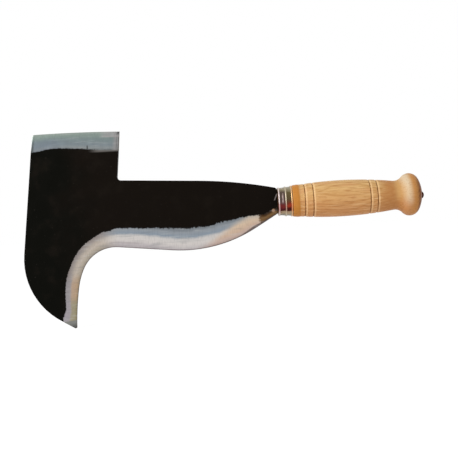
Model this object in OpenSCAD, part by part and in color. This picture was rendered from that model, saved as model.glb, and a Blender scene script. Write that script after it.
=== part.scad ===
// Billhook with a hatchet back: one forging whose tang runs through a turned handle.
// X runs along the handle towards the pommel, Y is across the blade, Z is up to the hatchet edge.
// Outlines are laid out from the ferrule's mouth on the handle's axis, then moved to the grip.

/* [Blade] */
// Thickness between the flat cheeks
blade_thick = 5; // [4:0.5:7]
// Thickness left along the cutting edges
edge_land = 0.6; // [0.4:0.1:1.2]
// Thickness left along the lower edge of the neck, at the ferrule
neck_land = 2.4; // [1.5:0.1:3.5]
// How far the grind swells past a flat bevel
grind_swell = 0.3; // [0:0.05:0.5]
// Share of a bevel's width, from its shoulder, at which the grind swells most
grind_break = 0.38; // [0.3:0.01:0.6]

/* [Neck and spine] */
// Height of the spine above the handle's axis, at the ferrule
neck_up = 14.4; // [11:0.1:16]
// Depth of the neck below the handle's axis, at the ferrule
neck_down = 11.5; // [9:0.5:14]
// Round on the neck's upper corner
neck_round = 3.5; // [1:0.5:4]
// Slope of the lower edge of the neck, in degrees
neck_angle = 30; // [20:1:40]
// Straight length of that lower edge
neck_edge = 26.5; // [15:0.5:40]
// Radius of the bow in the spine, next to the neck
spine_r = 450; // [300:10:800]
// Angle that the bow turns through
spine_turn = 9.7; // [5:0.1:13]
// Slope of the straight part of the spine
spine_angle = 3.5; // [0:0.5:6]

/* [Cutting edge] */
// Radius of the belly
belly_r = 138.5; // [100:0.5:200]
// Straight edge between the belly and the throat
draw_edge = 54; // [30:1:80]
// How far that edge climbs towards the throat, in degrees
draw_angle = 6.5; // [2:0.1:10]
// Radius of the throat
throat_r = 35; // [25:0.5:45]
// Angle that the throat turns through
throat_turn = 70.8; // [60:0.1:80]
// Radius where the throat eases into the hook
hook_r = 70; // [50:1:100]
// Angle of that easing
hook_turn = 16; // [10:1:20]
// Radius of the last stretch down to the tip
beak_r = 300; // [200:10:500]
// Angle of that last stretch
beak_turn = 7.5; // [5:0.1:9]

/* [Nose and hatchet] */
// Angle between the edges that meet at the tip
tip_angle = 59; // [50:1:75]
// Round on the tip
tip_round = 1.5; // [0.5:0.1:3]
// Radius of the nose
nose_r = 69.3; // [60:0.1:85]
// Angle that the nose turns through
nose_turn = 67.6; // [60:0.1:75]
// Lean of the nose above its round, in degrees
nose_lean = 6.9; // [0:0.1:10]
// Height of the hatchet edge above the handle's axis, at the nose
hatchet_rise = 80.5; // [65:0.1:95]
// Length of the hatchet edge
hatchet_edge = 85; // [60:0.5:95]
// Radius of the slight bow in that edge
hatchet_r = 1260; // [600:10:3000]
// How far the edge climbs as it leaves the nose, in degrees
hatchet_tilt = 1; // [0:0.1:2]
// Lean of the hatchet's side over the spine, in degrees
hatchet_lean = 6; // [0:0.5:10]
// Round on the outer corner of the hatchet edge
hatchet_round = 2.5; // [1:0.5:5]
// Round in the corner between hatchet and spine
notch_round = 3.5; // [2:0.5:8]

/* [Bevel widths] */
// At the ferrule, where it is only a chamfer
neck_bevel = 7; // [3:0.5:8]
// Part of the way down the neck, where that chamfer starts to flare
flare_bevel = 8; // [5:0.5:10]
// Where the neck runs into the belly
heel_bevel = 16; // [8:0.5:18]
// Part of the way round the belly
swell_bevel = 22.5; // [14:0.5:24]
// Where the belly ends
belly_bevel = 23; // [16:0.5:26]
// Where the throat starts
draw_bevel = 19.5; // [14:0.5:24]
// Half way round the throat
bend_bevel = 16; // [12:0.5:20]
// Where the throat ends
throat_bevel = 14.5; // [12:0.5:20]
// Half way down the hook
hook_bevel = 13.5; // [10:0.5:18]
// Where it is narrowest, above the tip
beak_bevel = 12; // [9:0.5:16]
// At the tip, along the nose
tip_bevel = 16; // [10:0.5:18]
// Hatchet bevel at the nose, down from the height of the edge there
nose_bevel = 18.5; // [12:0.5:22]
// Hatchet bevel where it is narrowest, down from that height
dip_bevel = 15.5; // [10:0.5:18]
// Hatchet bevel at its side over the spine, down from that height
side_bevel = 20; // [12:0.5:22]
// Distance from the nose to that narrowest place
dip_at = 20; // [10:1:50]

/* [Tang] */
// Height of the tang at the neck
tang_root = 11; // [8:0.5:12]
// How much thinner than the blade the tang is drawn
tang_draw = 0.6; // [0.4:0.1:1.5]
// Diameter of the round end of the tang
tang_end_d = 5.2; // [4:0.1:6]
// Length of the flat tang behind the ferrule's mouth
tang_flat = 108; // [70:1:115]
// Clearance round the tang in the wood
tang_fit = 0.3; // [0.1:0.05:0.6]
// Diameter of the peened head
head_d = 7; // [6.4:0.1:9]
// Height of the peened head
head_h = 3.5; // [1.5:0.1:4]
// How far below the handle's axis the head is hammered over
head_drop = 1.2; // [0:0.1:1.5]

/* [Ferrule] */
// Length of the ferrule
ferrule_len = 14.5; // [10:0.5:25]
// Outer radius at its mouth
ferrule_front_r = 13.4; // [12.5:0.1:16]
// Outer radius at its back
ferrule_back_r = 14.7; // [12.5:0.1:16]
// Thickness of its wall
ferrule_wall = 1.1; // [0.8:0.1:1.5]
// Clearance between the ferrule and the wood
ferrule_fit = 0.1; // [0.05:0.05:0.3]
// Radius of the rolled beads
bead_r = 0.8; // [0.5:0.05:1]
// How far they stand proud of the wall
bead_rise = 0.4; // [0.2:0.05:0.6]
// How far the end beads stay inside the ferrule's ends
bead_inset = 0.25; // [0.1:0.05:1]
// Distance from the mouth to the middle bead
middle_bead = 7.7; // [5:0.1:9]
// Depth of the hollows swaged between the beads
hollow_depth = 0.3; // [0.1:0.05:0.5]

/* [Handle] */
// Length from the ferrule's mouth to the end of the pommel
handle_len = 143.4; // [130:0.2:170]
// Distance from the ferrule's mouth to the middle of the grip
grip_at = 63; // [55:0.5:68]
// Radius of the grip at its middle
grip_r = 18.15; // [17:0.05:20]
// Radius of the barrel curve along the grip
barrel_r = 380; // [300:10:600]
// Round on the front end of the wood
front_round = 1.2; // [0.8:0.1:2]
// Radius of the pommel
pommel_r = 21.2; // [20:0.1:25]
// Radius of the pommel's rim
rim_r = 10; // [8:0.5:12]
// Radius of the dome on the pommel's end
dome_r = 36; // [30:1:60]
// Angle between the pommel's front flank and the axis
flank_angle = 37; // [30:1:50]
// Hollow between the grip and that flank
waist_round = 5; // [3:0.5:8]
// Distance from the middle of the grip to the middle of each groove pair
groove_at = 32.5; // [25:0.5:36]
// Distance between the two grooves of a pair
groove_gap = 8.5; // [5:0.5:12]
// Width of a groove
groove_w = 1.4; // [0.8:0.1:2]

/* [Tang washer] */
// Outer diameter of the washer
washer_d = 11; // [9:0.5:14]
// Thickness of the washer
washer_thick = 1.2; // [0.8:0.1:2]
// Clearance round the washer and round the tang in it
washer_fit = 0.15; // [0.1:0.05:0.3]

/* [Hidden] */
$fn = 72;

// Points along each long stretch of the blade's outline, with fewer along the nose, so that the tool
// lies still on clear corners when it is put down on its side
stations = 16;
nose_stations = 12;

// Largest angle and length between two points of a smaller arc
step_angle = 7.5;
step_length = 4;
function arc_steps(r, turn) =
    ceil(max(abs(turn) / step_angle, r * abs(turn) * PI / 180 / step_length));

function dir(angle) = [cos(angle), sin(angle)];

// A stretch of outline is [length, 0] when straight, or [radius, turn] with left turns positive.
// This gives the point at fraction f of a stretch.
function along(at, heading, stretch, f) =
    stretch[1] == 0
        ? at + f * stretch[0] * dir(heading)
        : let (to_centre = sign(stretch[1]) * stretch[0])
          at + to_centre * (dir(heading + 90) - dir(heading + 90 + f * stretch[1]));

function walk(at, heading, stretch, steps) =
    [for (k = [0 : steps]) along(at, heading, stretch, k / steps)];
function bend(at, heading, stretch) =
    walk(at, heading, stretch, arc_steps(stretch[0], stretch[1]));

function arc(centre, r, from, to) =
    let (n = arc_steps(r, to - from))
    [for (i = [0 : n]) centre + r * dir(from + (to - from) * i / n)];

// Cutting edge, walked from the neck round the throat and down the beak to the tip's round
edge_stretches = [
    [neck_edge, 0],
    [belly_r, -neck_angle - draw_angle],
    [draw_edge, 0],
    [throat_r, throat_turn],
    [hook_r, hook_turn],
    [beak_r, beak_turn],
    [tip_round, tip_angle - 180],
];
beak_q = 6;
tip_q = 7;
edge_start = [0, -neck_down];
edge_heading = 180 + neck_angle;
function edge_end(last, at = edge_start, heading = edge_heading, i = 0) =
    i == last
        ? at
        : let (stretch = edge_stretches[i])
          edge_end(last, along(at, heading, stretch, 1), heading + stretch[1], i + 1);
beak_end = edge_end(beak_q);
tip_heading = 180 - draw_angle + throat_turn + hook_turn + beak_turn;

// The bevel runs out through the nose, a bevel's width back from the tip's unrounded corner
tip = beak_end + tip_round / tan(tip_angle / 2) * dir(tip_heading);
nose_start = tip + tip_bevel * dir(tip_heading - 180 + tip_angle);
rise_heading = 90 - nose_lean;
nose_heading = rise_heading + nose_turn;
nose_end = along(nose_start, nose_heading, [nose_r, -nose_turn], 1);

// Shoulder of the bevel round the tip: its last length is shared out among the round's points
tip_share = 4;
function tip_shoulder(q) = nose_start - (tip_q - q) * tip_share * dir(tip_heading);
function angle_of(v) = atan2(v[1], v[0]);
beak_rung = tip_shoulder(beak_q) - beak_end;

// Width and direction of the bevel, and half the thickness of its edge, by stretch of the edge
flare_at = 0.6;
swell_at = 1.4;
bend_at = 3.5;
beak_at = 5.7;
function bevel_w(q) = lookup(q, [
    [0, neck_bevel],
    [flare_at, flare_bevel],
    [1, heel_bevel],
    [swell_at, swell_bevel],
    [2, belly_bevel],
    [3, draw_bevel],
    [bend_at, bend_bevel],
    [4, throat_bevel],
    [5, hook_bevel],
    [beak_at, beak_bevel],
    [beak_q, norm(beak_rung)],
]);
beak_tilt = angle_of(beak_rung) - (tip_heading - 90);
function bevel_tilt(q) = lookup(q, [[0, -neck_angle], [1, 0], [5, 0], [beak_q, beak_tilt]]);
function edge_half(q) = lookup(q, [[0, neck_land / 2], [1, edge_land / 2]]);

// A station of the blade's outline is [edge point, shoulder point, half thickness of the edge]
function shoulder(at, heading, q) =
    q > beak_q ? tip_shoulder(q) : at + bevel_w(q) * dir(heading - 90 + bevel_tilt(q));
function edge_station(at, heading, q) = [at, shoulder(at, heading, q), edge_half(q)];
function edge_walk(at = edge_start, heading = edge_heading, i = 0) =
    i == len(edge_stretches)
        ? [edge_station(at, heading, i)]
        : let (stretch = edge_stretches[i])
          concat(
              [for (k = [0 : stations - 1])
                  let (f = k / stations)
                  edge_station(along(at, heading, stretch, f), heading + f * stretch[1], i + f)],
              edge_walk(along(at, heading, stretch, 1), heading + stretch[1], i + 1)
          );

// Nose, up to the height where the hatchet's bevel starts
function up_nose(height) =
    nose_end + (height - nose_end[1]) / sin(rise_heading) * dir(rise_heading);
nose_foot = up_nose(hatchet_rise - nose_bevel);
nose_points = concat(
    [for (k = [1 : nose_stations])
        along(nose_start, nose_heading, [nose_r, -nose_turn], k / nose_stations)],
    [nose_foot]
);

// Hatchet edge between its two corners
corner_rise = hatchet_round * (cos(hatchet_tilt) - cos(rise_heading));
corner_start = up_nose(hatchet_rise - corner_rise);
corner_points = bend(corner_start, rise_heading, [hatchet_round, hatchet_tilt - rise_heading]);
corner_end = corner_points[len(corner_points) - 1];
hatchet_bow = [hatchet_r, -hatchet_edge / hatchet_r * 180 / PI];
edge_points = [
    for (k = [1 : stations]) along(corner_end, hatchet_tilt, hatchet_bow, k / stations)
];
hatchet_corner = edge_points[stations - 1];
side_heading = 270 - hatchet_lean;
function down_side(height) =
    hatchet_corner + (height - hatchet_corner[1]) / sin(side_heading) * dir(side_heading);
side_foot = down_side(hatchet_rise - side_bevel);

// The hatchet bevel's shoulder crosses from the nose to the side, with a dip where it is narrowest.
// The margin is the share of its width by which the shoulder's points stay inside the blade.
function ease(f) = (1 - cos(180 * f)) / 2;
function hatchet_bevel(d) =
    d < dip_at
        ? nose_bevel + (dip_bevel - nose_bevel) * ease(d / dip_at)
        : dip_bevel + (side_bevel - dip_bevel) * ease((d - dip_at) / (hatchet_edge - dip_at));
shoulder_margin = 0.003;
function shoulder_under(p) =
    let (width = hatchet_corner[0] - corner_start[0], f = (p[0] - corner_start[0]) / width)
    let (height = hatchet_rise - hatchet_bevel(f * hatchet_edge))
    let (across = shoulder_margin + (1 - 2 * shoulder_margin) * f)
    up_nose(height) + (down_side(height) - up_nose(height)) * across;
hatchet_stations = [
    for (p = concat(corner_points, edge_points)) [p, shoulder_under(p), edge_land / 2]
];

// Spine from the hatchet's side to the neck's rounded end
spine_fall = spine_angle + spine_turn;
spine_end = [-neck_round * (1 - sin(spine_fall)), neck_up];
bow_start = along(spine_end, 180 - spine_fall, [spine_r, spine_turn], 1);
function meet(p, a, q, b) =
    let (d = dir(a), e = dir(b), gap = q - p)
    p + (gap[0] * e[1] - gap[1] * e[0]) / (d[0] * e[1] - d[1] * e[0]) * d;
notch = meet(hatchet_corner, side_heading, bow_start, -spine_angle);
notch_turn = 90 + hatchet_lean - spine_angle;
notch_start = notch - notch_round * tan(notch_turn / 2) * dir(side_heading);
notch_points = bend(notch_start, side_heading, [notch_round, notch_turn]);
bow_points = walk(bow_start, -spine_angle, [spine_r, -spine_turn], stations);
neck_points = bend(spine_end, -spine_fall, [neck_round, spine_fall - 90]);
spine_points = concat(
    [side_foot],
    notch_points,
    bow_points,
    [for (k = [1 : len(neck_points) - 1]) neck_points[k]]
);

function unground(points) = [for (p = points) [p, p, edge_land / 2]];
outline = concat(edge_walk(), unground(nose_points), hatchet_stations, unground(spine_points));

// Rings of the blade from cheek to cheek: shoulder, swell of the grind, edge, and back again
function ring(side, across) = [
    for (s = outline)
        let (p = s[1] + (s[0] - s[1]) * across)
        let (swell = across == grind_break ? grind_swell : 0)
        [p[0], side * (blade_thick / 2 + (s[2] - blade_thick / 2) * across + swell), p[1]]
];
rings = [
    ring(-1, 0), ring(-1, grind_break), ring(-1, 1),
    ring(1, 1), ring(1, grind_break), ring(1, 0),
];

// Two triangles between stations i and i + 1 of rings j and j + 1.
// Where a bevel starts or ends, they split along the side of the blade that it runs out through.
function patch(j, i) =
    let (n = len(outline), next = (i + 1) % n)
    let (a = j * n + i, b = j * n + next, c = b + n, d = a + n)
    let (no_bevel = outline[i][0] == outline[i][1])
    (j < 2) == no_bevel ? [[a, c, b], [a, d, c]] : [[a, d, b], [b, d, c]];

// The flat cheek is faced from the cutting edge across to the back: station i of the edge looks
// over to a station of the spine, hatchet or nose.
nose_first = tip_q * stations + 1;
foot_at = nose_first + len(nose_points) - 1;
notch_at = foot_at + len(hatchet_stations) + len(notch_points) + 1;
function opposite(i) = round(lookup(i, [
    [0, len(outline) - 1],
    [2 * stations, notch_at + 1],
    [3 * stations, notch_at],
    [4 * stations, foot_at],
    [tip_q * stations, nose_first],
]));

module forged_plate() {
    n = len(outline);
    last = len(rings) - 1;
    sides = [for (j = [0 : last - 1], i = [0 : n - 1]) each patch(j, i)];
    near_cheek = [
        for (i = [0 : nose_first - 2])
            [i, i + 1, each [opposite(i + 1) : opposite(i)]]
    ];
    far_cheek = [
        for (i = [0 : nose_first - 2])
            [for (k = [i, each [opposite(i) : -1 : opposite(i + 1)], i + 1]) last * n + k]
    ];
    polyhedron([for (r = rings) each r], concat(sides, near_cheek, far_cheek));
}

// Handle profile: tangent arcs for the front round, barrel, waist, rim and dome
barrel_centre = [grip_r - barrel_r, grip_at];
front_u = ferrule_len + front_round;
front_centre = [
    barrel_centre[0] + sqrt(pow(barrel_r - front_round, 2) - pow(front_u - grip_at, 2)),
    front_u
];
rim_c = pommel_r - rim_r;
dome_angle = asin(rim_c / (dome_r - rim_r));
dome_centre = [0, handle_len - dome_r];
rim_centre = dome_centre + (dome_r - rim_r) * dir(90 - dome_angle);
flank_start = rim_centre + rim_r * dir(-flank_angle);
waist_line = flank_start + waist_round * dir(-flank_angle);
waist_gap = waist_line - barrel_centre;
waist_reach = waist_gap * dir(90 - flank_angle);
waist_back = waist_reach
    - sqrt(pow(waist_reach, 2) - waist_gap * waist_gap + pow(barrel_r + waist_round, 2));
waist_centre = waist_line - waist_back * dir(90 - flank_angle);
front_angle = angle_of(front_centre - barrel_centre);
waist_angle = angle_of(waist_centre - barrel_centre);
function grip_radius(u) = barrel_centre[0] + sqrt(pow(barrel_r, 2) - pow(u - grip_at, 2));

// Fits of the ferrule's spigot, which tapers with it, the tang's hole and the washer's seat
spigot_front_r = ferrule_front_r - ferrule_wall - ferrule_fit;
spigot_back_r = ferrule_back_r - ferrule_wall - ferrule_fit;
tang_thick = blade_thick - tang_draw;
tang_round = tang_flat - tang_end_d;
washer_seat = handle_len - dome_r + sqrt(pow(dome_r, 2) - pow(washer_d / 2, 2)) - washer_thick;

// How far the tang reaches into the neck that it is forged from
tang_bite = 6;

module along_handle() { rotate([0, 90, 0]) rotate_extrude() children(); }

module tang_side(fit) {
    polygon([
        [-tang_bite, -tang_root / 2 - fit],
        [-tang_bite, tang_root / 2 + fit],
        [tang_flat + fit, tang_end_d / 2 + fit],
        [tang_flat + fit, -tang_end_d / 2 - fit],
    ]);
}

module flat_tang(fit) {
    rotate([90, 0, 0])
        linear_extrude(tang_thick + 2 * fit, center = true)
            tang_side(fit);
}

module peened_end() {
    head_base = washer_seat + washer_thick;
    crown_r = (pow(head_d / 2, 2) + pow(head_h / 2, 2)) / head_h;
    crown = angle_of([head_d / 2, crown_r - head_h / 2]);
    along_handle()
        translate([0, tang_round])
            square([tang_end_d / 2, head_base - tang_round]);
    translate([0, 0, -head_drop])
        along_handle()
            polygon(concat(
                [[0, head_base], [head_d / 2, head_base]],
                arc([0, head_base + head_h - crown_r], crown_r, crown, 90)
            ));
}

module blade() {
    color([0.09, 0.08, 0.06]) {
        forged_plate();
        flat_tang(0);
        peened_end();
    }
}

// Ferrule: a tapered tube with three rolled beads and a shallow hollow between each two
beads = [bead_r + bead_inset, middle_bead, ferrule_len - bead_r - bead_inset];
function ferrule_r(u) = ferrule_front_r + (ferrule_back_r - ferrule_front_r) * u / ferrule_len;

module swaged_hollow(from, to) {
    middle = (from + to) / 2;
    r = (pow((to - from) / 2, 2) + pow(hollow_depth, 2)) / (2 * hollow_depth);
    translate([ferrule_r(middle) + r - hollow_depth, middle])
        circle(r);
}

module tapered(front_r, back_r) {
    polygon([[0, 0], [front_r, 0], [back_r, ferrule_len], [0, ferrule_len]]);
}

module ferrule_profile() {
    difference() {
        union() {
            difference() {
                tapered(ferrule_front_r, ferrule_back_r);
                swaged_hollow(beads[0], beads[1]);
                swaged_hollow(beads[1], beads[2]);
            }
            for (u = beads)
                translate([ferrule_r(u) + bead_rise - bead_r, u])
                    circle(bead_r);
        }
        tapered(spigot_front_r + ferrule_fit, spigot_back_r + ferrule_fit);
    }
}

module ferrule() {
    color([0.8, 0.78, 0.75])
        along_handle() ferrule_profile();
}

module handle_profile() {
    difference() {
        polygon(concat(
            [[0, 0], [spigot_front_r, 0], [spigot_back_r, ferrule_len]],
            arc(front_centre, front_round, -90, front_angle),
            arc(barrel_centre, barrel_r, front_angle, waist_angle),
            arc(waist_centre, waist_round, 180 + waist_angle, 180 - flank_angle),
            arc(rim_centre, rim_r, -flank_angle, 90 - dome_angle),
            arc(dome_centre, dome_r, 90 - dome_angle, 90)
        ));
        for (pair = [-1, 1], groove = [-1, 1])
            let (u = grip_at + pair * groove_at + groove * groove_gap / 2)
            translate([grip_radius(u), u])
                circle(groove_w / 2);
        translate([0, tang_round - tang_fit])
            square([tang_end_d / 2 + tang_fit, handle_len]);
        translate([0, washer_seat])
            square([washer_d / 2 + washer_fit, handle_len]);
    }
}

module handle() {
    color([0.8, 0.62, 0.42])
        difference() {
            along_handle() handle_profile();
            flat_tang(tang_fit);
        }
}

module tang_washer() {
    color([0.45, 0.43, 0.41])
        along_handle()
            translate([tang_end_d / 2 + washer_fit, washer_seat])
                square([washer_d / 2 - tang_end_d / 2 - washer_fit, washer_thick]);
}

module from_grip() { translate([-grip_at, 0, 0]) children(); }

from_grip() blade();
from_grip() ferrule();
from_grip() handle();
from_grip() tang_washer();
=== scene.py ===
import math

import bpy
import mathutils
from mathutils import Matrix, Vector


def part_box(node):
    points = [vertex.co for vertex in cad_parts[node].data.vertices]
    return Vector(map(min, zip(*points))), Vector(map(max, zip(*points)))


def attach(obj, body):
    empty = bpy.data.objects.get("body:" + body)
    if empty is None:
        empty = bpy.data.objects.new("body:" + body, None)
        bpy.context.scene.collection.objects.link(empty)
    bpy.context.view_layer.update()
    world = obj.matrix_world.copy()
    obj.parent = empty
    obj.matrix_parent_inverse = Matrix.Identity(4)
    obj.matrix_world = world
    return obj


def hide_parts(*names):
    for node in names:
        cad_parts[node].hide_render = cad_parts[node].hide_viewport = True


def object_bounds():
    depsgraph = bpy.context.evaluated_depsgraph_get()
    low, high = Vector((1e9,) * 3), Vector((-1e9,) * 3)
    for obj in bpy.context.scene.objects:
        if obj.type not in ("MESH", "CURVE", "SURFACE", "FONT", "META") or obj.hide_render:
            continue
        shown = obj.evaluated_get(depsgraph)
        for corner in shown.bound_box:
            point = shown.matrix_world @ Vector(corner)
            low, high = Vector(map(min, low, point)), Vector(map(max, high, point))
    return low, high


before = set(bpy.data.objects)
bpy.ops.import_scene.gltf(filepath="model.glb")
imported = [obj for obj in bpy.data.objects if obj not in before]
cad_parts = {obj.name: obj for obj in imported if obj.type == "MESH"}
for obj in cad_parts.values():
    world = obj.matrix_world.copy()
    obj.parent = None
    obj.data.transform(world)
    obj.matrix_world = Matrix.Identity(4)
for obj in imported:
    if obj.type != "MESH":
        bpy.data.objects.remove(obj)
cad_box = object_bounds()

# Blade
# One steel forging: hook, belly edge, hatchet edge, and the tang that runs through the handle and is
# peened over at the pommel. It is dipped in black lacquer, then its edges are ground bright by hand.
neck_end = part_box("handle")[0].x
cheek_half = 0.0025
edge_half = 0.0003
neck_half = 0.0012
corner_round = 0.00045
weld = 1e-6
flat_angle = math.radians(0.02)
smooth_angle = math.radians(30)
corner_angle = math.radians(60)
cheek_facing = 0.99999
bevel_facing = 0.9
land_facing = 0.5

bpy.ops.object.select_all(action="DESELECT")
blade = bpy.data.objects.new("forged_blade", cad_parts["blade"].data.copy())
bpy.context.scene.collection.objects.link(blade)
blade.data.materials.clear()
blade.select_set(True)
bpy.context.view_layer.objects.active = blade
bpy.ops.mesh.customdata_custom_splitnormals_clear()
bpy.ops.object.mode_set(mode="EDIT")
bpy.ops.mesh.select_mode(type="FACE")
bpy.ops.mesh.select_all(action="SELECT")
bpy.ops.mesh.remove_doubles(threshold=weld)
bpy.ops.mesh.dissolve_limited(angle_limit=flat_angle)
bpy.ops.object.mode_set(mode="OBJECT")

# The ground faces lean a little off the cheeks, or are the thin land between two bevels.
LACQUERED, GROUND, TANG = range(3)
for face in blade.data.polygons:
    facing = abs(face.normal.y)
    thickest = max(abs(blade.data.vertices[v].co.y) for v in face.vertices)
    leans = bevel_facing < facing < cheek_facing
    land = facing < land_facing and thickest < neck_half + weld
    if face.center.x > neck_end + weld:
        face.material_index = TANG
    elif leans or land:
        face.material_index = GROUND
    else:
        face.material_index = LACQUERED
    face.select = facing > cheek_facing and thickest > cheek_half - weld

# The shoulder between cheek and bevel stays crisp, and the thick edges of the blade are broken.
bpy.ops.object.shade_smooth_by_angle(angle=smooth_angle)
bpy.ops.object.mode_set(mode="EDIT")
bpy.ops.mesh.region_to_loop()
bpy.ops.mesh.mark_sharp()
bpy.ops.mesh.select_mode(type="EDGE")
bpy.ops.mesh.select_all(action="DESELECT")
bpy.ops.mesh.edges_select_sharp(sharpness=corner_angle)
bpy.ops.object.mode_set(mode="OBJECT")
for edge in blade.data.edges:
    ends = [blade.data.vertices[v].co for v in edge.vertices]
    if min(abs(end.y) for end in ends) < cheek_half - weld:
        edge.select = False
bpy.ops.object.mode_set(mode="EDIT")
bpy.ops.mesh.bevel(offset=corner_round, segments=3, affect="EDGES", clamp_overlap=True)
bpy.ops.object.mode_set(mode="OBJECT")

# Finishes are laid out in millimetres on the piece, in the shared frame.
mm = 1000


def seen(red, green, blue):
    """A colour as the eye sees it, from 0 to 255, turned into the linear values that shaders take."""
    linear = [c / 12.92 if c <= 0.04045 else ((c + 0.055) / 1.055) ** 2.4
              for c in (red / 255, green / 255, blue / 255)]
    return (*linear, 1)


class Finish:
    """A material in the making: its shader, and the places on the piece in millimetres."""

    def __init__(self, name):
        self.material = bpy.data.materials.new(name)
        self.material.use_nodes = True
        self.tree = self.material.node_tree
        self.shader = self.tree.nodes["Principled BSDF"]
        coords = self.node("ShaderNodeTexCoord")
        self.place = self.node(
            "ShaderNodeMapping", {"Vector": coords.outputs["Object"], "Scale": (mm, mm, mm)}
        ).outputs[0]
        self.x, self.y, self.z = self.node("ShaderNodeSeparateXYZ", {0: self.place}).outputs
        normal = self.node("ShaderNodeSeparateXYZ", {0: coords.outputs["Normal"]})
        self.facing_x, self.facing_y = normal.outputs[:2]

    def fill(self, node, sockets):
        """Links or sets a node's sockets."""
        for name, value in sockets.items():
            if isinstance(value, bpy.types.NodeSocket):
                self.tree.links.new(value, node.inputs[name])
            else:
                node.inputs[name].default_value = value

    def node(self, kind, sockets=None, **settings):
        made = self.tree.nodes.new(kind)
        for name, value in settings.items():
            setattr(made, name, value)
        self.fill(made, sockets or {})
        return made

    def maths(self, operation, *values):
        return self.node("ShaderNodeMath", dict(enumerate(values)), operation=operation).outputs[0]

    def both(self, first, *others):
        """The product of shares, which is high only where all of them are."""
        for other in others:
            first = self.maths("MULTIPLY", first, other)
        return first

    def shift(self, value, by, amount):
        """A value moved by so much of another one."""
        return self.maths("MULTIPLY_ADD", by, amount, value)

    def squares(self, first, second):
        """The sum of two squares."""
        return self.maths("MULTIPLY_ADD", first, first, self.maths("MULTIPLY", second, second))

    def rise(self, value, start, stop, low=0.0, high=1.0):
        """low up to start, high from stop on, and an eased slope between them."""
        sockets = {"Value": value, "From Min": start, "From Max": stop, "To Min": low, "To Max": high}
        return self.node("ShaderNodeMapRange", sockets, interpolation_type="SMOOTHSTEP").outputs[0]

    def near(self, value, middle, fade, full, high=1.0):
        """A stripe about the middle: nothing from fade away on, and high within full of it."""
        away = self.maths("ABSOLUTE", self.maths("SUBTRACT", value, middle))
        return self.rise(away, fade, full, 0.0, high)

    def noise(self, across, detail=2.0, roughness=0.5):
        """Noise whose lumps are about across millimetres, one size for each axis."""
        steps = tuple(1 / size for size in across)
        place = self.node("ShaderNodeMapping", {"Vector": self.place, "Scale": steps}).outputs[0]
        sockets = {"Vector": place, "Scale": 1.0, "Detail": detail, "Roughness": roughness}
        return self.node("ShaderNodeTexNoise", sockets).outputs[0]

    def waver(self, across, detail=2.0):
        """Noise to either side of nothing."""
        return self.maths("SUBTRACT", self.noise(across, detail), 0.5)

    def blend(self, share, first, second, kind="MIX"):
        sockets = {0: share, 6: first, 7: second}
        return self.node("ShaderNodeMix", sockets, data_type="RGBA", blend_type=kind).outputs[2]

    def bands(self, value, *stops):
        """Colours along a value, as pairs of place and colour."""
        ramp = self.node("ShaderNodeValToRGB", {0: value})
        elements = ramp.color_ramp.elements
        while len(elements) < len(stops):
            elements.new(1.0)
        for element, (place, colour) in zip(elements, stops):
            element.position = place
            element.color = colour
        return ramp.outputs[0]

    def bump(self, height, depth, base=None):
        """A relief of that depth, in millimetres."""
        sockets = {"Height": height, "Distance": depth / mm, "Strength": 1.0}
        if base is not None:
            sockets["Normal"] = base
        return self.node("ShaderNodeBump", sockets).outputs[0]


# Black lacquer: brown-black, greener towards the nose, thin and rubbed on the broken corners.
lacquer_gloss = 0.035
green_brown_x = (-255, -205)
lacquer = Finish("black_lacquer")
towards_neck = lacquer.shift(lacquer.x, lacquer.noise((30, 30, 30)), 70.0)
coat = lacquer.blend(lacquer.rise(towards_neck, *green_brown_x), seen(6, 6, 3), seen(15, 10, 6))
cloud = lacquer.noise((14, 14, 14), detail=4)
coat = lacquer.blend(lacquer.rise(cloud, 0.5, 0.75, 0.0, 0.5), coat, seen(22, 17, 12))
specks = lacquer.noise((2.4, 2.4, 2.4), detail=2)
coat = lacquer.blend(lacquer.rise(specks, 0.68, 0.74, 0.0, 0.5), coat, seen(44, 40, 36))
flatness = lacquer.maths("ABSOLUTE", lacquer.facing_y)
corner = lacquer.both(lacquer.rise(flatness, 0.3, 0.5), lacquer.rise(flatness, 0.9, 0.97, 1.0, 0.0))
wear = lacquer.rise(lacquer.noise((6, 6, 6), detail=4), 0.48, 0.62, 0.0, 0.5)
coat = lacquer.blend(lacquer.both(corner, wear), coat, seen(80, 74, 68))

# A pale slanting streak on the neck, and a rubbed line under the hatchet's bevel, towards the notch.
streak_x = -66.8
streak_z = 4.8
streak_lean = math.radians(23)
rubbed_x = (-250, -236)
rubbed_z = (58.8, 60.6)
from_streak = lacquer.maths("SUBTRACT", lacquer.x, streak_x)
streak_across = lacquer.maths("MULTIPLY", from_streak, math.cos(streak_lean))
streak_across = lacquer.shift(streak_across, lacquer.z, -math.sin(streak_lean))
neck_streak = lacquer.both(
    lacquer.near(streak_across, 0.0, 0.9, 0.2, 0.6), lacquer.near(lacquer.z, streak_z, 3.8, 2.4)
)
coat = lacquer.blend(neck_streak, coat, seen(150, 140, 138))
rubbed_line = lacquer.both(
    lacquer.rise(lacquer.z, *rubbed_z), lacquer.rise(lacquer.x, *rubbed_x, 0.0, 0.75)
)
coat = lacquer.blend(rubbed_line, coat, seen(112, 108, 104))
hammering = lacquer.bump(lacquer.noise((11, 11, 11), detail=1), 0.25)
lacquer.fill(lacquer.shader, {
    "Base Color": coat,
    "Roughness": lacquer.rise(cloud, 0.3, 0.7, 0.34, 0.5),
    "Specular IOR Level": lacquer_gloss,
    "Normal": lacquer.bump(lacquer.noise((0.9, 0.9, 0.9), detail=3), 0.03, hammering),
})
blade.data.materials.append(lacquer.material)

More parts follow.
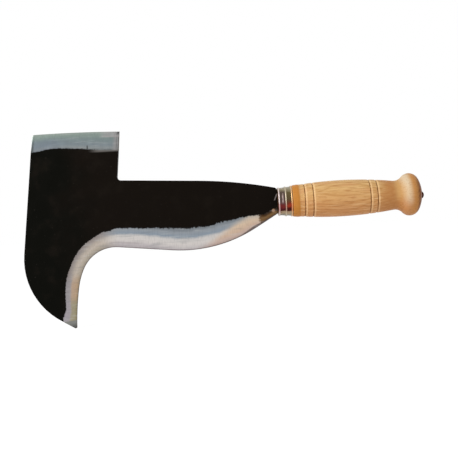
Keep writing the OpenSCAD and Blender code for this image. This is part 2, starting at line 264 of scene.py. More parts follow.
# Ground steel. How far down its bevel a point lies, from 0 at the lacquer to 1 at the edge, comes from
# how thick the blade is there. The bevels swell, so they fall off faster by the edge than by the cheek.
thicker_edge_x = -86.0
cheek_reach = 1.56
edge_reach = 0.82
ground = Finish("ground_steel")
half_thick = ground.maths("ABSOLUTE", ground.y)
edge_now = ground.node("ShaderNodeMapRange", {
    "Value": ground.x, "From Min": thicker_edge_x, "From Max": neck_end * mm,
    "To Min": edge_half * mm, "To Max": neck_half * mm,
}).outputs[0]
slope = ground.maths(
    "DIVIDE",
    ground.maths("SUBTRACT", cheek_half * mm, half_thick),
    ground.maths("SUBTRACT", cheek_half * mm, edge_now),
)
down = ground.maths(
    "MINIMUM",
    ground.maths("MULTIPLY", slope, cheek_reach),
    ground.maths("MULTIPLY_ADD", slope, edge_reach, 1 - edge_reach),
)
wander = ground.waver((9, 9, 9), detail=3)
ragged = ground.waver((1.3, 1.3, 1.3), detail=3)
by_hand = ground.shift(ground.shift(down, ragged, 0.06), wander, 0.12)

# Across each bevel the bands of colour are painted reflection from its swell: on the belly a blue-grey
# strip under the lacquer, narrower towards the heel, and then a white face. The bevels are
# straw-coloured at the heel, tan and olive down the hook, grey on the hatchet.
narrow_x = (-205, -165)
heel_x = (-103, -81)
throat_x = (-220, -246)
hook_z = (-58, -72)
beak_z = (-82, -92)
hatchet_z = (20, 30)
belly = ground.bands(
    ground.maths("SUBTRACT", by_hand, ground.rise(ground.x, *narrow_x, 0.0, 0.13)),
    (0.0, seen(124, 130, 136)), (0.08, seen(142, 148, 154)), (0.28, seen(135, 146, 157)),
    (0.4, seen(196, 192, 189)), (0.6, seen(202, 196, 192)), (0.72, seen(193, 187, 185)),
    (0.82, seen(180, 173, 174)), (1.0, seen(166, 158, 160)),
)
heel = ground.bands(
    by_hand,
    (0.0, seen(122, 117, 108)), (0.1, seen(166, 157, 146)), (0.25, seen(190, 175, 159)),
    (0.45, seen(206, 183, 159)), (0.7, seen(199, 172, 150)), (0.85, seen(192, 169, 157)),
    (1.0, seen(158, 138, 130)),
)
throat = ground.bands(
    by_hand,
    (0.0, seen(98, 91, 89)), (0.08, seen(130, 122, 119)), (0.28, seen(152, 143, 138)),
    (0.45, seen(176, 165, 154)), (0.6, seen(187, 175, 163)), (0.75, seen(177, 166, 151)),
    (0.9, seen(158, 148, 135)), (1.0, seen(130, 121, 109)),
)
hook = ground.bands(
    by_hand,
    (0.0, seen(112, 108, 110)), (0.08, seen(144, 139, 141)), (0.36, seen(153, 147, 148)),
    (0.5, seen(178, 154, 133)), (0.8, seen(178, 152, 125)), (1.0, seen(140, 122, 98)),
)
beak = ground.bands(
    by_hand,
    (0.0, seen(122, 118, 120)), (0.1, seen(158, 152, 157)), (0.4, seen(158, 151, 154)),
    (0.52, seen(158, 149, 126)), (0.8, seen(154, 145, 117)), (1.0, seen(128, 118, 92)),
)
hatchet = ground.bands(
    by_hand,
    (0.0, seen(104, 107, 108)), (0.12, seen(136, 142, 143)), (0.3, seen(122, 132, 137)),
    (0.6, seen(121, 134, 134)), (0.85, seen(131, 145, 138)), (1.0, seen(146, 158, 150)),
)
heel_line = ground.shift(ground.x, by_hand, 48.0)
steel = ground.blend(ground.rise(heel_line, *heel_x), belly, heel)
steel = ground.blend(ground.rise(ground.x, *throat_x), steel, throat)
steel = ground.blend(ground.rise(ground.z, *hook_z), steel, hook)
steel = ground.blend(ground.rise(ground.z, *beak_z), steel, beak)
steel = ground.blend(ground.rise(ground.z, *hatchet_z), steel, hatchet)

# On the hatchet: lavender towards the nose, paler up by the notch, and one nick at the lacquer.
bevel_z = (40, 50)
lavender_x = (-262, -285)
pale_corner_z = (73, 77)
nick_x = -249.6
nick_z = (68, 65.5)
notch_side_foot = -225.15
notch_side_lean = 0.105
nose_side_foot = -313.7
nose_side_lean = 0.121
on_hatchet = ground.rise(ground.z, *bevel_z)
lavender_line = ground.shift(ground.x, wander, 30.0)
lavender = ground.both(
    ground.rise(lavender_line, *lavender_x), ground.rise(by_hand, 0.75, 0.5, 0.0, 0.4), on_hatchet
)
steel = ground.blend(lavender, steel, seen(108, 117, 130))
notch_edge = ground.maths("MULTIPLY_ADD", ground.z, notch_side_lean, notch_side_foot)
from_side = ground.shift(ground.maths("SUBTRACT", notch_edge, ground.x), ragged, 0.8)
pale_corner = ground.both(
    ground.rise(ground.z, *pale_corner_z), ground.rise(from_side, 22, 12, 0.0, 0.6)
)
steel = ground.blend(pale_corner, steel, seen(164, 158, 160))
nick = ground.both(
    ground.near(ground.x, nick_x, 1.1, 0.3, 0.8), ground.rise(ground.z, *nick_z), on_hatchet
)
steel = ground.blend(nick, steel, seen(50, 52, 50))

# Its two ends: at the notch a lighter strip, a scribed line, a blunt dark side and a dark corner, and
# at the nose painted shade along the side.
dark_corner_z = (75.6, 77.4)
side_strip = ground.both(on_hatchet, ground.rise(from_side, 7.5, 3.5, 0.0, 0.8))
steel = ground.blend(side_strip, steel, seen(144, 142, 142))
scribed = ground.both(on_hatchet, ground.near(from_side, 2.2, 0.6, 0.1, 0.6))
steel = ground.blend(scribed, steel, seen(92, 92, 92))
blunt = ground.both(on_hatchet, ground.rise(from_side, 1.0, 0.4, 0.0, 0.8))
steel = ground.blend(blunt, steel, seen(84, 78, 74))
dark_corner = ground.both(
    ground.rise(from_side, 3.4, 1.2), ground.rise(ground.z, *dark_corner_z, 0.0, 0.7)
)
steel = ground.blend(dark_corner, steel, seen(66, 68, 68))
nose_edge = ground.maths("MULTIPLY_ADD", ground.z, nose_side_lean, nose_side_foot)
from_nose = ground.maths("SUBTRACT", ground.x, nose_edge)
# Painted shade along the hatchet's bevel by the nose side.
nose_shade = ground.both(
    on_hatchet, ground.rise(from_nose, 3.6, 0.8, 0.0, 0.75), ground.rise(ground.z, 80, 68, 0.2, 1.0)
)
steel = ground.blend(nose_shade, steel, seen(62, 66, 62))

# The tip is touched off square, its facet painted grey and darker towards the point as its shade, and
# the neck is left burnt brown, with one pale spot.
tip_z = (-70.7, -71.9)
dark_tip_z = (-72.6, -79)
tip_lean = -0.13
burnt_x = (-83, -80.5)
spot_x = -67.8
spot_z = -8.4
tip_line = ground.shift(ground.shift(ground.z, ground.x, tip_lean), ragged, 1.6)
# Painted shade of the tip's facet.
steel = ground.blend(ground.rise(tip_line, *tip_z), steel, seen(130, 130, 125))
steel = ground.blend(ground.rise(tip_line, *dark_tip_z), steel, seen(82, 82, 79))
burnt = ground.bands(
    ground.shift(down, wander, 0.8),
    (0.0, seen(38, 26, 15)), (0.25, seen(70, 48, 26)), (0.6, seen(120, 90, 56)),
    (0.95, seen(92, 66, 38)),
)
burnt_line = ground.shift(ground.shift(ground.x, wander, 8.0), ragged, 6.0)
steel = ground.blend(ground.rise(burnt_line, *burnt_x), steel, burnt)
from_spot = ground.squares(
    ground.maths("SUBTRACT", ground.x, spot_x), ground.maths("SUBTRACT", ground.z, spot_z)
)
steel = ground.blend(ground.rise(from_spot, 4.0, 0.8, 0.0, 0.8), steel, seen(184, 144, 112))

# Dark along the very edge, one long scratch on the belly, and the strokes of the grinding wheel, which
# run along the belly and up and down the hook.
dark_heel_x = (-106, -84)
scratch_down = 0.75
scratch_right_x = (-197, -206)
scratch_left_x = (-238, -230)
upright_z = (-45, -65)
pale_strokes_x = (-292, -280)
to_edge = ground.maths("ADD", down, ground.rise(ground.x, *dark_heel_x, 0.0, 0.14))
edge_line = ground.both(
    ground.rise(to_edge, 0.94, 0.985, 0.0, 0.8), ground.rise(ground.z, bevel_z[1], bevel_z[0], 0.2, 1.0)
)
steel = ground.blend(edge_line, steel, seen(84, 72, 70))
scratch = ground.both(
    ground.near(down, scratch_down, 0.06, 0.02, 0.5),
    ground.rise(ground.x, *scratch_right_x),
    ground.rise(ground.x, *scratch_left_x),
)
steel = ground.blend(scratch, steel, seen(160, 151, 151))
streaks = ground.blend(
    ground.rise(ground.z, *upright_z), ground.noise((0.7, 0.7, 18)), ground.noise((18, 0.7, 0.7))
)
steel = ground.blend(ground.rise(streaks, 0.45, 0.7, 0.0, 0.16), steel, seen(96, 96, 98))
strokes = ground.noise((22, 3, 2.4), detail=3)
steel = ground.blend(ground.rise(strokes, 0.52, 0.75, 0.0, 0.3), steel, seen(112, 118, 122))
pale_strokes = ground.both(
    ground.rise(strokes, 0.46, 0.25, 0.0, 0.25), ground.rise(ground.x, *pale_strokes_x)
)
steel = ground.blend(pale_strokes, steel, seen(188, 190, 188))

# The border of the lacquer is ragged, with wheel marks along the belly. It reaches further down round
# the throat and in three more places, and is rubbed thin on the hatchet by the notch.
marked_x = (-230, -215)
marked_z = (20, 10)
throat_drip_x = (-236, -246)
throat_drip_z = (-64, -52)
drips_z = (10, 0)
paint_line = ground.shift(ground.shift(down, wander, 0.06), ragged, 0.16)
marked = ground.both(ground.rise(ground.x, *marked_x, 0.0, 0.2), ground.rise(ground.z, *marked_z))
paint_line = ground.shift(paint_line, ground.waver((1.1, 1.1, 5.0)), marked)
drips = ground.both(
    ground.rise(ground.x, *throat_drip_x, 0.0, 0.07), ground.rise(ground.z, *throat_drip_z)
)
for drip_x, drip_half, drip_reach in ((-233, 6, 0.08), (-131, 14, 0.05), (-92, 11, 0.08)):
    drip = ground.near(ground.x, drip_x, drip_half, drip_half / 4, drip_reach)
    drips = ground.maths("ADD", drips, drip)
drips = ground.both(drips, ground.rise(ground.z, *drips_z))
painted = ground.rise(ground.maths("SUBTRACT", paint_line, drips), 0.018, 0.055, 1.0, 0.0)
rubbed_off = ground.both(on_hatchet, ground.rise(ground.x, *rubbed_x, 0.0, 0.8))
painted = ground.both(painted, ground.maths("SUBTRACT", 1.0, rubbed_off))
steel = ground.blend(painted, steel, seen(13, 10, 7))
shine = ground.rise(ground.maths("ABSOLUTE", wander), 0.0, 0.3, 0.28, 0.4)
ground.fill(ground.shader, {
    "Base Color": steel,
    "Metallic": ground.rise(painted, 0.3, 0.7, 1.0, 0.0),
    "Roughness": ground.shift(shine, painted, 0.1),
    "Specular IOR Level": lacquer_gloss,
    "Normal": ground.bump(streaks, 0.02),
})
blade.data.materials.append(ground.material)

# Tang: bare forged steel, red-brown with rust where the peened head shows.
rust = Finish("rusted_tang")
rust_tone = rust.bands(
    rust.noise((1.5, 1.5, 1.5), detail=4),
    (0.3, seen(34, 3, 2)), (0.5, seen(58, 10, 6)), (0.75, seen(96, 36, 24)),
)
rust.fill(rust.shader, {
    "Base Color": rust_tone,
    "Roughness": 0.7,
    "Specular IOR Level": 0.0,
    "Normal": rust.bump(rust.noise((0.8, 0.8, 0.8), detail=3), 0.1),
})
blade.data.materials.append(rust.material)
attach(blade, "root")
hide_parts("blade")

# Ferrule
# A short steel tube, tapered to the wood, with three rolled beads and shallow hollows swaged between
# them. It is plated bright and pressed onto the handle's spigot, to keep the wood from splitting.
ferrule_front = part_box("ferrule")[0].x
ferrule_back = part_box("ferrule")[1].x
ferrule_len = ferrule_back - ferrule_front
mouth_r = 0.0138
back_r = 0.0151
tube_wall = 0.0015
bead_r = 0.0008
bead_rise = 0.0004
bead_inset = 0.00025
middle_bead = 0.0077
hollow_depth = 0.0003
beads = [bead_r + bead_inset, middle_bead, ferrule_len - bead_r - bead_inset]
profile_step = 0.00012
spin_steps = 128
metal_smooth = math.radians(40)


def ferrule_radius(along):
    """Outer radius of the ferrule at a distance from its mouth."""
    radius = mouth_r + (back_r - mouth_r) * along / ferrule_len
    nearest = min(abs(along - bead) for bead in beads)
    bead_height = math.sqrt(max(0, bead_r ** 2 - nearest ** 2)) + bead_rise - bead_r
    hollow = 0
    for start, stop in zip(beads, beads[1:]):
        if start < along < stop:
            hollow = hollow_depth * math.sin(math.pi * (along - start) / (stop - start))
    return radius + max(bead_height, -hollow)


def turned(name, profile, steps):
    """Spins a profile of (place along the axis, radius) points round the axis of the handle."""
    bpy.ops.object.select_all(action="DESELECT")
    start = (profile[0][0], 0, profile[0][1])
    bpy.ops.mesh.primitive_plane_add(size=0.001, location=start)
    bpy.ops.object.transform_apply(location=True)
    piece = bpy.context.object
    piece.name = name
    bpy.ops.object.mode_set(mode="EDIT")
    bpy.ops.mesh.select_mode(type="VERT")
    bpy.ops.mesh.select_all(action="SELECT")
    bpy.ops.mesh.merge(type="CENTER")
    for (x, r), (next_x, next_r) in zip(profile, profile[1:]):
        bpy.ops.mesh.extrude_region_move(TRANSFORM_OT_translate={"value": (next_x - x, 0, next_r - r)})
    bpy.ops.mesh.select_all(action="SELECT")
    bpy.ops.mesh.spin(steps=steps, angle=2 * math.pi, center=(0, 0, 0), axis=(1, 0, 0))
    bpy.ops.mesh.select_all(action="SELECT")
    bpy.ops.mesh.remove_doubles(threshold=weld)
    bpy.ops.mesh.normals_make_consistent(inside=False)
    bpy.ops.object.mode_set(mode="OBJECT")
    return piece


count = round(ferrule_len / profile_step)
outside = [(ferrule_front + ferrule_len * i / count, ferrule_radius(ferrule_len * i / count))
           for i in range(count + 1)]
ferrule_profile = [
    (ferrule_front, mouth_r - tube_wall),
    *outside,
    (ferrule_back, back_r - tube_wall),
    (ferrule_front, mouth_r - tube_wall),
]
ferrule = turned("beaded_ferrule", ferrule_profile, spin_steps)
bpy.ops.object.shade_smooth_by_angle(angle=metal_smooth)

# The plating is bright on the beads. The hollows are painted with reflection and shade: pale along the
# top, then olive, red and dark, and pale again where they turn under.
reflection_z = (-14.0, 14.0)
plating = Finish("bright_plating")
from_mouth = plating.maths("SUBTRACT", plating.x, ferrule_front * mm)
off_axis = plating.maths("SQRT", plating.squares(plating.y, plating.z))
tube_r = plating.maths("MULTIPLY_ADD", from_mouth, (back_r - mouth_r) / ferrule_len, mouth_r * mm)
height = plating.maths("SUBTRACT", off_axis, tube_r)
blotch = plating.waver((4, 3, 3), detail=3)
level = plating.shift(plating.z, blotch, 5.0)
hollow_reflection = plating.bands(
    plating.node(
        "ShaderNodeMapRange", {"Value": level, "From Min": reflection_z[0], "From Max": reflection_z[1]}
    ).outputs[0],
    (0.0, seen(92, 90, 76)), (0.08, seen(160, 141, 114)), (0.12, seen(152, 128, 102)),
    (0.16, seen(58, 21, 19)), (0.24, seen(74, 27, 23)), (0.31, seen(150, 54, 34)),
    (0.42, seen(112, 50, 36)), (0.55, seen(88, 74, 50)), (0.8, seen(98, 86, 56)),
    (0.91, seen(152, 142, 116)), (1.0, seen(140, 132, 110)),
)

# The front hollow is painted as reflection, violet-grey above and crimson below, with a painted glint
# along its middle.
glint_place = 4.5
front_hollow = plating.rise(from_mouth, middle_bead * mm, middle_bead * mm - 1)
violet = plating.both(
    front_hollow, plating.rise(plating.z, -10, -7, 0.0, 0.65), plating.rise(plating.z, 12, 8)
)
violet_tone = plating.blend(plating.rise(level, -5, -1), seen(84, 34, 42), seen(86, 69, 72))
hollow_reflection = plating.blend(violet, hollow_reflection, violet_tone)
glint = plating.both(
    plating.near(from_mouth, glint_place, 0.9, 0.3),
    plating.rise(blotch, -0.02, 0.08, 0.0, 0.75),
    plating.rise(plating.z, -3, 0),
    front_hollow,
)
hollow_reflection = plating.blend(glint, hollow_reflection, seen(204, 180, 174))
bright = plating.bands(
    plating.maths("DIVIDE", from_mouth, ferrule_len * mm),
    (0.1, seen(210, 194, 190)), (0.5, seen(184, 174, 152)), (0.9, seen(220, 174, 126)),
)
# A pink reflection painted on the lower beads.
pink_reflection = plating.both(plating.rise(level, 0, -5), plating.rise(plating.z, -12, -9))
bright = plating.blend(pink_reflection, bright, seen(255, 222, 222), "MULTIPLY")
plating.fill(plating.shader, {
    "Base Color": plating.blend(plating.rise(height, 0.05, 0.3), hollow_reflection, bright),
    "Metallic": 1.0,
    "Roughness": plating.rise(height, 0.0, 0.2, 0.25, 0.45),
    "Normal": plating.bump(plating.noise((2, 2, 2), detail=2), 0.03),
})
ferrule.data.materials.append(plating.material)
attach(ferrule, "root")
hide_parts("ferrule")

# Handle
# One length of pale close-grained hardwood, turned between centres: a spigot for the ferrule, a barrel
# grip with two pairs of cut grooves, and a mushroom pommel. The tang is driven right through it.
handle_len = 0.1438
handle_back = ferrule_front + handle_len
spigot_gap = 0.0001
grip_r = 0.01815
barrel_r = 0.380
front_round = 0.0012
pommel_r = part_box("handle")[1].z
rim_r = 0.0091
dome_r = 0.0344
flank_angle = math.radians(48)
waist_round = 0.0107
collar_end = -0.0405
collar_slope = 0.003
collar_rise = 0.0005
front_pair = -0.03245
front_gap = 0.0082
back_pair = 0.0313
back_gap = 0.0071
groove_depth = 0.0008
groove_steep = 0.0006
groove_slope = 0.0017
groove_hollow = 1.4
washer_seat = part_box("tang_washer")[0].x
seat_gap = 0.00015
seat_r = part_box("tang_washer")[1].z + seat_gap
tang_bore_r = 0.0029
slot_lead = 0.006
slot_len = 0.1083
slot_front = ferrule_front - slot_lead
slot_back = ferrule_front + slot_len
slot_thick = 0.0050
slot_root = 0.0116
slot_end = 0.0058
wood_smooth = math.radians(35)
barrel_steps = 60
steep_steps = 4
slope_steps = 7
collar_steps = 4
front_steps = 8
waist_steps = 10
rim_steps = 28
dome_steps = 16


def arc(centre, radius, start, stop, steps):
    """Points on an arc, from one angle to another, with angles turning from the radius to the axis."""
    turns = [start + (stop - start) * i / steps for i in range(steps + 1)]
    return [(centre[0] + radius * math.sin(turn), centre[1] + radius * math.cos(turn))
            for turn in turns]


barrel_centre = grip_r - barrel_r
pairs = [(front_pair, front_gap), (back_pair, back_gap)]
grooves = [pair + side * gap / 2 for pair, gap in pairs for side in (-1, 1)]


def barrel_radius(x):
    """Radius of the grip, with its collar, and a steep front and a long back to each groove."""
    radius = barrel_centre + math.sqrt(barrel_r ** 2 - x ** 2)
    radius += collar_rise * min(1, max(0, (collar_end - x) / collar_slope))
    for groove in grooves:
        side = groove_steep if x < groove else groove_slope
        cut = max(0, 1 - abs(x - groove) / side)
        radius -= groove_depth * cut ** groove_hollow
    return radius


# The front edge is rounded into the barrel. The barrel, the round of the waist, the straight flank, the
# rim and the dome each run into the next without a corner.
front_x = ferrule_back + front_round
front_rise = math.sqrt((barrel_r - front_round) ** 2 - front_x ** 2)
front_centre = (front_x, barrel_centre + front_rise + collar_rise)
front_turn = math.atan2(front_x, front_rise)
rim_offset = pommel_r - rim_r
dome_turn = math.acos(rim_offset / (dome_r - rim_r))
dome_centre = (handle_back - dome_r, 0)
rim_centre = (dome_centre[0] + (dome_r - rim_r) * math.sin(dome_turn), rim_offset)
flank_line = (rim_centre[0] - (rim_r + waist_round) * math.sin(flank_angle),
              rim_centre[1] + (rim_r + waist_round) * math.cos(flank_angle))
down_flank = (math.cos(flank_angle), math.sin(flank_angle))
to_flank = (flank_line[0], flank_line[1] - barrel_centre)
reach = to_flank[0] * down_flank[0] + to_flank[1] * down_flank[1]
past_barrel = (barrel_r + waist_round) ** 2 - to_flank[0] ** 2 - to_flank[1] ** 2
slide = reach - math.sqrt(reach ** 2 + past_barrel)
waist_centre = (flank_line[0] - slide * down_flank[0], flank_line[1] - slide * down_flank[1])
waist_turn = math.atan2(waist_centre[0], waist_centre[1] - barrel_centre)
barrel_start = barrel_r * math.sin(front_turn)
barrel_stop = barrel_r * math.sin(waist_turn)

barrel_places = {barrel_start + (barrel_stop - barrel_start) * i / barrel_steps
                 for i in range(barrel_steps + 1)}
for groove in grooves:
    barrel_places = {x for x in barrel_places if not groove - groove_steep < x < groove + groove_slope}
    barrel_places |= {groove - groove_steep * i / steep_steps for i in range(steep_steps + 1)}
    barrel_places |= {groove + groove_slope * i / slope_steps for i in range(slope_steps + 1)}
barrel_places |= {collar_end - collar_slope * i / collar_steps for i in range(collar_steps + 1)}
barrel = [(x, barrel_radius(x)) for x in sorted(barrel_places)]
handle_profile = [
    (ferrule_front, tang_bore_r),
    (ferrule_front, mouth_r - tube_wall - spigot_gap),
    (ferrule_back, back_r - tube_wall - spigot_gap),
    *arc(front_centre, front_round, -math.pi / 2, front_turn, front_steps),
    *barrel[1:-1],
    *arc(waist_centre, waist_round, math.pi + waist_turn, math.pi - flank_angle, waist_steps),
    *arc(rim_centre, rim_r, -flank_angle, dome_turn, rim_steps),
    *arc(dome_centre, dome_r, dome_turn, math.acos(seat_r / dome_r), dome_steps)[1:],
    (washer_seat, seat_r),
    (washer_seat, tang_bore_r),
    (ferrule_front, tang_bore_r),
]
handle = turned("turned_handle", handle_profile, spin_steps)

# The hole for the flat of the tang, burnt out to the tang's own taper.
bpy.ops.mesh.primitive_cube_add(
    size=1,
    location=((slot_front + slot_back) / 2, 0, 0),
    scale=(slot_back - slot_front, slot_thick, slot_root),
)
bpy.ops.object.transform_apply(location=True, scale=True)
slot_cutter = bpy.context.object
bpy.ops.object.mode_set(mode="EDIT")
bpy.ops.mesh.select_all(action="DESELECT")
bpy.ops.object.mode_set(mode="OBJECT")
for corner_point in slot_cutter.data.vertices:
    corner_point.select = corner_point.co.x > 0
bpy.ops.object.mode_set(mode="EDIT")
bpy.ops.transform.resize(value=(1, 1, slot_end / slot_root), center_override=(slot_back, 0, 0))
bpy.ops.object.mode_set(mode="OBJECT")
bpy.ops.object.select_all(action="DESELECT")
handle.select_set(True)
bpy.context.view_layer.objects.active = handle
tang_hole = handle.modifiers.new("tang_hole", "BOOLEAN")
tang_hole.operation = "DIFFERENCE"
tang_hole.solver = "EXACT"
tang_hole.object = slot_cutter
bpy.ops.object.modifier_apply(modifier=tang_hole.name)
bpy.data.objects.remove(slot_cutter)
bpy.ops.object.shade_smooth_by_angle(angle=wood_smooth)

# Wood: growth rings round a pith that lies outside the handle and a little askew, with fibres, flecks
# and fine pores along the grain. Painted shade makes it darker and redder below than above.
pith_y = 27.0
pith_z = -9.0
pith_lean_y = 0.035
pith_lean_z = 0.05
ring_width = 2.3
ring_sway = 9.0
fading_x = (52, 66)
grip_z = (-18, 18)
wood = Finish("oiled_wood")
across_y = wood.maths("ADD", wood.y, wood.maths("MULTIPLY_ADD", wood.x, pith_lean_y, -pith_y))
across_z = wood.maths("ADD", wood.z, wood.maths("MULTIPLY_ADD", wood.x, pith_lean_z, -pith_z))
from_pith = wood.maths("SQRT", wood.squares(across_y, across_z))
years = wood.maths("DIVIDE", wood.shift(from_pith, wood.waver((90, 14, 14)), ring_sway), ring_width)
season = wood.maths("FRACT", years)
rings = wood.bands(
    season,
    (0.0, seen(206, 164, 110)), (0.45, seen(215, 176, 123)), (0.8, seen(206, 164, 111)),
    (0.92, seen(192, 147, 94)), (1.0, seen(206, 164, 110)),
)
grain = wood.blend(wood.rise(wood.x, *fading_x, 0.0, 0.75), rings, seen(208, 163, 112))
shade_below = wood.bands(
    wood.rise(wood.z, *grip_z),
    (0.0, seen(246, 215, 200)), (0.5, seen(252, 239, 225)), (1.0, seen(255, 255, 244)),
)
grain = wood.blend(1.0, grain, shade_below, "MULTIPLY")
fibres = wood.noise((40, 0.8, 0.8), detail=3, roughness=0.6)
grain = wood.blend(wood.rise(fibres, 0.5, 0.72, 0.0, 0.65), grain, seen(176, 122, 72))
grain = wood.blend(wood.rise(fibres, 0.48, 0.26, 0.0, 0.65), grain, seen(236, 203, 152))
flecks = wood.noise((12, 1.4, 1.4), detail=2)
grain = wood.blend(wood.rise(flecks, 0.55, 0.68, 0.0, 0.65), grain, seen(174, 116, 66))
pores = wood.noise((4.0, 0.35, 0.35), detail=1)
grain = wood.blend(wood.rise(pores, 0.66, 0.74, 0.0, 0.45), grain, seen(150, 98, 56))
patches = wood.noise((30, 8, 8), detail=3)
grain = wood.blend(wood.rise(patches, 0.5, 0.72, 0.0, 0.4), grain, seen(200, 140, 94))

# The collar is orange, and the oil has gone brown at the waist. The rim is brown and the end dark,
# partly from oil and end grain and partly as painted shade away from the light. The flank is painted
# paler above, as lit from above, and a pale highlight is painted on the pommel.
collar_x = (-41.6, -39.6)
waist_x = (34, 48)
flank_x = (50, 57)
flank_z = (-10, 2)
rim_x = (66, 71)
end_x = (73.5, 77.5)
stain_and_light_line = wood.shift(wood.x, patches, 2.0)
grain = wood.blend(wood.rise(stain_and_light_line, *collar_x, 0.9, 0.0), grain, seen(188, 121, 46))
grain = wood.blend(wood.rise(stain_and_light_line, *waist_x, 0.0, 0.75), grain, seen(180, 120, 66))
# Painted light: the flank paler above.
flank_light = wood.both(wood.rise(stain_and_light_line, *flank_x, 0.0, 0.6), wood.rise(wood.z, *flank_z))
grain = wood.blend(flank_light, grain, seen(202, 162, 104))
# The rim and end darker, partly oil and end grain, partly painted shade.
grain = wood.blend(wood.rise(stain_and_light_line, *rim_x, 0.0, 0.85), grain, seen(196, 136, 76))
grain = wood.blend(wood.rise(stain_and_light_line, *end_x, 0.0, 0.9), grain, seen(122, 62, 16))
# A pale highlight painted on the pommel's flank, stronger above.
highlight_line = wood.shift(stain_and_light_line, wood.maths("MAXIMUM", wood.z, 0.0), 0.12)
highlight_share = wood.maths(
    "ADD", wood.rise(wood.z, -15, -3, 0.05, 0.5), wood.rise(wood.z, 4, 14, 0.0, 0.22)
)
pommel_highlight = wood.both(wood.rise(highlight_line, 58.5, 66), wood.rise(highlight_line, 72, 66.5), highlight_share)
grain = wood.blend(pommel_highlight, grain, seen(214, 199, 172))

# Cut fibres show on the pommel, and on its end the rings and open pores, with rust that has bled from
# the tang. Inside the ferrule's mouth the wood is painted dark as shade.
pommel_x = (50, 60)
spigot_x = (-62.4, -62.0)
cut_fibres = wood.both(wood.rise(fibres, 0.5, 0.7, 0.0, 0.35), wood.rise(wood.x, *pommel_x))
grain = wood.blend(cut_fibres, grain, seen(158, 100, 52))
end_grain = wood.rise(wood.facing_x, 0.35, 0.75)
early_wood = wood.both(end_grain, wood.rise(season, 0.45, 0.1, 0.0, 0.45))
grain = wood.blend(early_wood, grain, seen(166, 104, 52))
ring_line = wood.both(end_grain, wood.rise(season, 0.6, 0.95, 0.0, 0.6))
grain = wood.blend(ring_line, grain, seen(80, 40, 14))
end_pores = wood.noise((0.8, 0.8, 0.8), detail=2)
open_pores = wood.both(end_grain, wood.rise(end_pores, 0.56, 0.7, 0.0, 0.6))
grain = wood.blend(open_pores, grain, seen(62, 30, 12))
from_tang = wood.maths("SQRT", wood.squares(wood.y, wood.z))
bled_line = wood.shift(from_tang, wood.maths("SUBTRACT", end_pores, 0.5), 6.0)
bled = wood.both(wood.rise(bled_line, 9.0, 6.0, 0.0, 0.8), end_grain)
grain = wood.blend(bled, grain, seen(78, 28, 14))
# Painted shade on the wood inside the ferrule's mouth.
grain = wood.blend(wood.rise(wood.x, *spigot_x, 0.9, 0.0), grain, seen(30, 20, 13))

# Dirt and painted shade in the grooves, and a painted highlight on the lip behind each of them.
lip_place = 1.5
smudge = wood.rise(wood.noise((3, 5, 5)), 0.25, 0.55, 0.25, 0.8)
for groove in grooves:
    lip_highlight = wood.near(wood.x, groove * mm + lip_place, 0.9, 0.3, 0.4)
    grain = wood.blend(lip_highlight, grain, seen(240, 206, 158))
    dirt_and_shade = wood.both(wood.near(wood.x, groove * mm, 0.55, 0.15), smudge)
    grain = wood.blend(dirt_and_shade, grain, seen(112, 68, 36))
wood.fill(wood.shader, {
    "Base Color": grain,
    "Roughness": wood.rise(fibres, 0.3, 0.7, 0.36, 0.5),
    "Specular IOR Level": 0.06,
    "Coat Weight": 0.08,
    "Coat Roughness": 0.42,
    "Normal": wood.bump(pores, 0.03, wood.bump(fibres, 0.05)),
})
handle.data.materials.append(wood.material)
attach(handle, "root")
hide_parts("handle")

# Tang washer
# A small round steel washer, stamped from sheet and let into the end of the pommel. The peened end of
# the tang spreads over it and pulls the handle up against the blade.
washer_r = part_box("tang_washer")[1].z
washer_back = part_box("tang_washer")[1].x
washer_hole_r = 0.00275
stamped_edge = 0.0002
stamped_centre = (washer_back - stamped_edge, washer_r - stamped_edge)
edge_steps = 4
washer_steps = 64
washer_profile = [
    (washer_seat, washer_hole_r),
    (washer_seat, washer_r),
    *arc(stamped_centre, stamped_edge, 0, math.pi / 2, edge_steps),
    (washer_back, washer_hole_r),
    (washer_seat, washer_hole_r),
]
washer = turned("tang_washer_disc", washer_profile, washer_steps)
bpy.ops.object.shade_smooth_by_angle(angle=metal_smooth)
sheet = Finish("washer_steel")
worn = sheet.noise((1.2, 1.2, 1.2), detail=4)
sheet.fill(sheet.shader, {
    "Base Color": sheet.bands(
        worn, (0.35, seen(66, 28, 18)), (0.52, seen(96, 50, 36)), (0.7, seen(140, 124, 114))
    ),
    "Metallic": sheet.rise(worn, 0.5, 0.62),
    "Roughness": sheet.rise(worn, 0.35, 0.6, 0.6, 0.36),
    "Normal": sheet.bump(worn, 0.05),
})
washer.data.materials.append(sheet.material)
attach(washer, "root")
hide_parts("tang_washer")

# Studio
# A pale floor under the tip of the hook, an even white surround, and one wide soft light from the left,
# in front and above. The camera stands square to the blade, rolled to match the photograph.
floor_z = cad_box[0].z
floor_size = 40
floor_grey = 0.9
floor_glow = 1.16
glow_share = 0.75
surround_light = 0.6
surround_seen = 1.0
light_place = (-1.3, -0.75, 0.65)
light_aim = (-0.11, 0, -0.02)
light_wide = 0.6
light_high = 1.2
light_power = 20
camera_place = (-0.113, -0.760, -0.0244)
camera_roll = math.radians(3.26)
camera_lens = 59.7
camera_sensor = 36

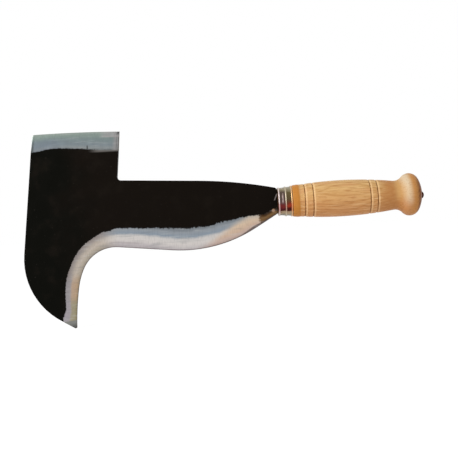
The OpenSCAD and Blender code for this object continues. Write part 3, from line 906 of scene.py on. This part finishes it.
bpy.ops.object.select_all(action="DESELECT")
bpy.ops.mesh.primitive_plane_add(size=floor_size, location=(0, 0, floor_z))
floor = bpy.context.object
floor.name = "studio_floor"
pale = Finish("pale_floor")
pale.tree.nodes.remove(pale.shader)
matt = pale.node("ShaderNodeBsdfDiffuse", {"Color": (floor_grey, floor_grey, floor_grey, 1)})
glow = pale.node("ShaderNodeEmission", {"Strength": floor_glow})
floor_rays = pale.node("ShaderNodeLightPath").outputs
looked_at = pale.maths("MAXIMUM", floor_rays["Is Camera Ray"], floor_rays["Is Glossy Ray"])
floor_mix = pale.node("ShaderNodeMixShader", {
    0: pale.maths("MULTIPLY", looked_at, glow_share), 1: matt.outputs[0], 2: glow.outputs[0],
})
pale.fill(pale.tree.nodes["Material Output"], {"Surface": floor_mix.outputs[0]})
floor.data.materials.append(pale.material)

scene = bpy.context.scene
world = bpy.data.worlds.new("white_surround")
world.use_nodes = True
scene.world = world
sky = world.node_tree
surround = sky.nodes["Background"]
surround.inputs["Color"].default_value = (1, 1, 1, 1)
sky_rays = sky.nodes.new("ShaderNodeLightPath").outputs
seen_straight = sky.nodes.new("ShaderNodeMath")
seen_straight.operation = "MAXIMUM"
seen_through = sky.nodes.new("ShaderNodeMath")
seen_through.operation = "MAXIMUM"
brightness = sky.nodes.new("ShaderNodeMapRange")
brightness.inputs["To Min"].default_value = surround_light
brightness.inputs["To Max"].default_value = surround_seen
sky.links.new(sky_rays["Is Camera Ray"], seen_straight.inputs[0])
sky.links.new(sky_rays["Is Glossy Ray"], seen_straight.inputs[1])
sky.links.new(seen_straight.outputs[0], seen_through.inputs[0])
sky.links.new(sky_rays["Is Transmission Ray"], seen_through.inputs[1])
sky.links.new(seen_through.outputs[0], brightness.inputs["Value"])
sky.links.new(brightness.outputs[0], surround.inputs["Strength"])

bpy.ops.object.light_add(type="AREA", location=light_place)
soft_box = bpy.context.object
soft_box.name = "soft_box"
soft_box.data.shape = "RECTANGLE"
soft_box.data.size = light_wide
soft_box.data.size_y = light_high
soft_box.data.energy = light_power
aim = mathutils.Vector(light_aim) - soft_box.location
soft_box.rotation_euler = aim.to_track_quat("-Z", "Y").to_euler()

bpy.ops.object.camera_add(location=camera_place, rotation=(math.pi / 2, camera_roll, 0))
camera = bpy.context.object
camera.data.lens = camera_lens
camera.data.sensor_width = camera_sensor
scene.camera = camera
scene.view_settings.view_transform = "Standard"
